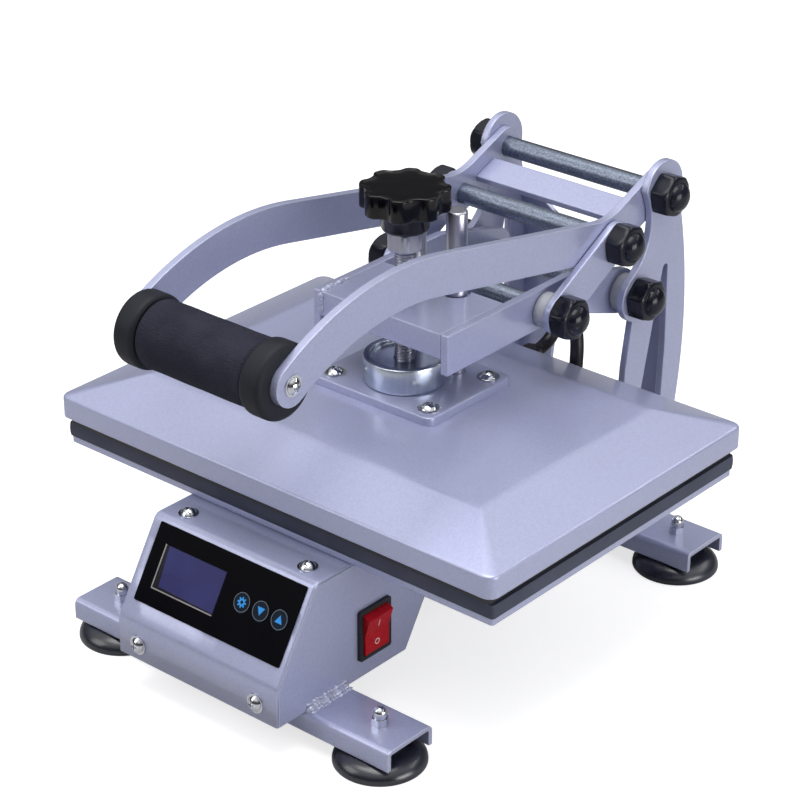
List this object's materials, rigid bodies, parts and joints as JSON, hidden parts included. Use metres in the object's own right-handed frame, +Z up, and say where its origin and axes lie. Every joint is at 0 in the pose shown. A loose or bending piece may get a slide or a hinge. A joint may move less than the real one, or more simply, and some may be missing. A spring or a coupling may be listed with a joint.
{
  "type": "manual heat press",
  "caption": "Bench-top manual heat press: a bowed toggle handle closes a heated platen on a padded plate above a sloped control box on suction feet.",
  "frame": {"origin": "on the floor under the middle of the overall box, on the press's middle plane", "axes": "+X to the operator's right, +Y to the back where the uprights stand, +Z up"},
  "size_m": [0.311, 0.354, 0.2565],
  "materials": {
    "powder_coat": "silver-lavender metallic powder coat with a fine flake",
    "zinc": "bright zinc plate with drawn streaks",
    "chrome": "bright nickel plate",
    "satin_black": "satin black plastic",
    "gloss_black": "glossy black plastic",
    "black_rubber": "smooth black rubber",
    "foam": "matt black foam",
    "silicone": "dark slate silicone sponge",
    "display": "blue-violet display glass",
    "board": "green circuit board",
    "red_plastic": "glossy red plastic",
    "aluminium": "cast aluminium",
    "element": "oxidised steel sheath",
    "insulation": "glass-fibre blanket"
  },
  "bodies": {
    "base": {"front_crossbar": "powder_coat", "rear_crossbar": "powder_coat", "base_spine": "powder_coat", "suction_feet": "black_rubber", "foot_studs": "chrome", "foot_nuts": "chrome", "rear_pedestal": "powder_coat", "upright_left": "powder_coat", "upright_right": "powder_coat", "lower_plate": "powder_coat", "silicone_pad": "silicone", "control_box_shell": "powder_coat", "control_box_cover": "powder_coat", "cover_screws": "chrome", "panel_facia": "gloss_black", "lcd_display": "display", "controller_board": "board", "power_relay": "satin_black", "switch_housing": "satin_black", "mains_gland": "satin_black", "top_pivot_rod": "zinc", "rear_pivot_rod": "zinc", "pivot_spacers": "zinc", "frame_pivot_caps": "satin_black", "box_gland": "satin_black", "heater_cable": "black_rubber"},
    "rocker": {"power_rocker": "red_plastic"},
    "set_key": {"button_set": "gloss_black"},
    "down_key": {"button_down": "gloss_black"},
    "up_key": {"button_up": "gloss_black"},
    "handle": {"handle_arm_left": "powder_coat", "handle_arm_right": "powder_coat", "handle_tie_plate": "powder_coat", "grip_rod": "zinc", "foam_grip": "foam", "grip_collars": "foam", "grip_screws": "chrome", "handle_pin": "zinc", "handle_pin_caps": "satin_black"},
    "links": {"link_left": "powder_coat", "link_right": "powder_coat", "link_studs": "zinc", "link_stud_caps": "satin_black"},
    "press_arm": {"press_arm_left": "powder_coat", "press_arm_right": "powder_coat", "press_arm_top": "powder_coat", "press_arm_pin": "zinc", "pressure_nut": "zinc"},
    "platen": {"platen_cover": "powder_coat", "heating_plate": "aluminium", "heating_element": "element", "insulation_blanket": "insulation", "flange_plate": "powder_coat", "flange_screws": "chrome", "pressure_puck": "zinc", "guide_posts": "chrome", "platen_gland": "satin_black"},
    "screw": {"pressure_screw": "zinc", "star_knob": "gloss_black", "jam_nut": "chrome"}
  },
  "joints": [
    {"name": "arm_lift", "type": "hinge", "parent": "base", "child": "press_arm", "pos_m": [0, 0.12955, 0.1626], "axis": [-1, 0, 0], "range_deg": [0, 45.83], "deforming": ["heater_cable"]},
    {"name": "handle_lift", "type": "hinge", "parent": "base", "child": "handle", "pos_m": [0, 0.14855, 0.2206], "axis": [-1, 0, 0], "range_deg": [0, 90.1]},
    {"name": "link_swing", "type": "hinge", "parent": "handle", "child": "links", "pos_m": [0, 0.10705, 0.2036], "axis": [1, 0, 0], "range_deg": [0, 103.4]},
    {"name": "knob_turn", "type": "hinge", "parent": "platen", "child": "screw", "pos_m": [0, -0.0043, 0.243], "axis": [0, 0, 1], "range_deg": [0, 1647.7]},
    {"name": "platen_height", "type": "slide", "parent": "press_arm", "child": "platen", "axis": [0, 0, 1], "range_m": [0, 0.008], "deforming": ["heater_cable"]},
    {"name": "rocker_tilt", "type": "hinge", "parent": "base", "child": "rocker", "pos_m": [0.0575, -0.09855, 0.048], "axis": [0, -1, 0], "range_deg": [0, 16]},
    {"name": "set_press", "type": "slide", "parent": "base", "child": "set_key", "axis": [0, 0.8526, -0.5225], "range_m": [0, 0.0005], "stiffness_N_per_m": 1200, "springref_m": -0.0003},
    {"name": "down_press", "type": "slide", "parent": "base", "child": "down_key", "axis": [0, 0.8526, -0.5225], "range_m": [0, 0.0005], "stiffness_N_per_m": 1200, "springref_m": -0.0003},
    {"name": "up_press", "type": "slide", "parent": "base", "child": "up_key", "axis": [0, 0.8526, -0.5225], "range_m": [0, 0.0005], "stiffness_N_per_m": 1200, "springref_m": -0.0003}
  ],
  "couplings": [
    {"joint": "handle_lift", "follows": "arm_lift", "ratio": 1.9638},
    {"joint": "link_swing", "follows": "arm_lift", "ratio": 2.2529},
    {"joint": "knob_turn", "follows": "platen_height", "rad_per_m": 3590.4}
  ]
}
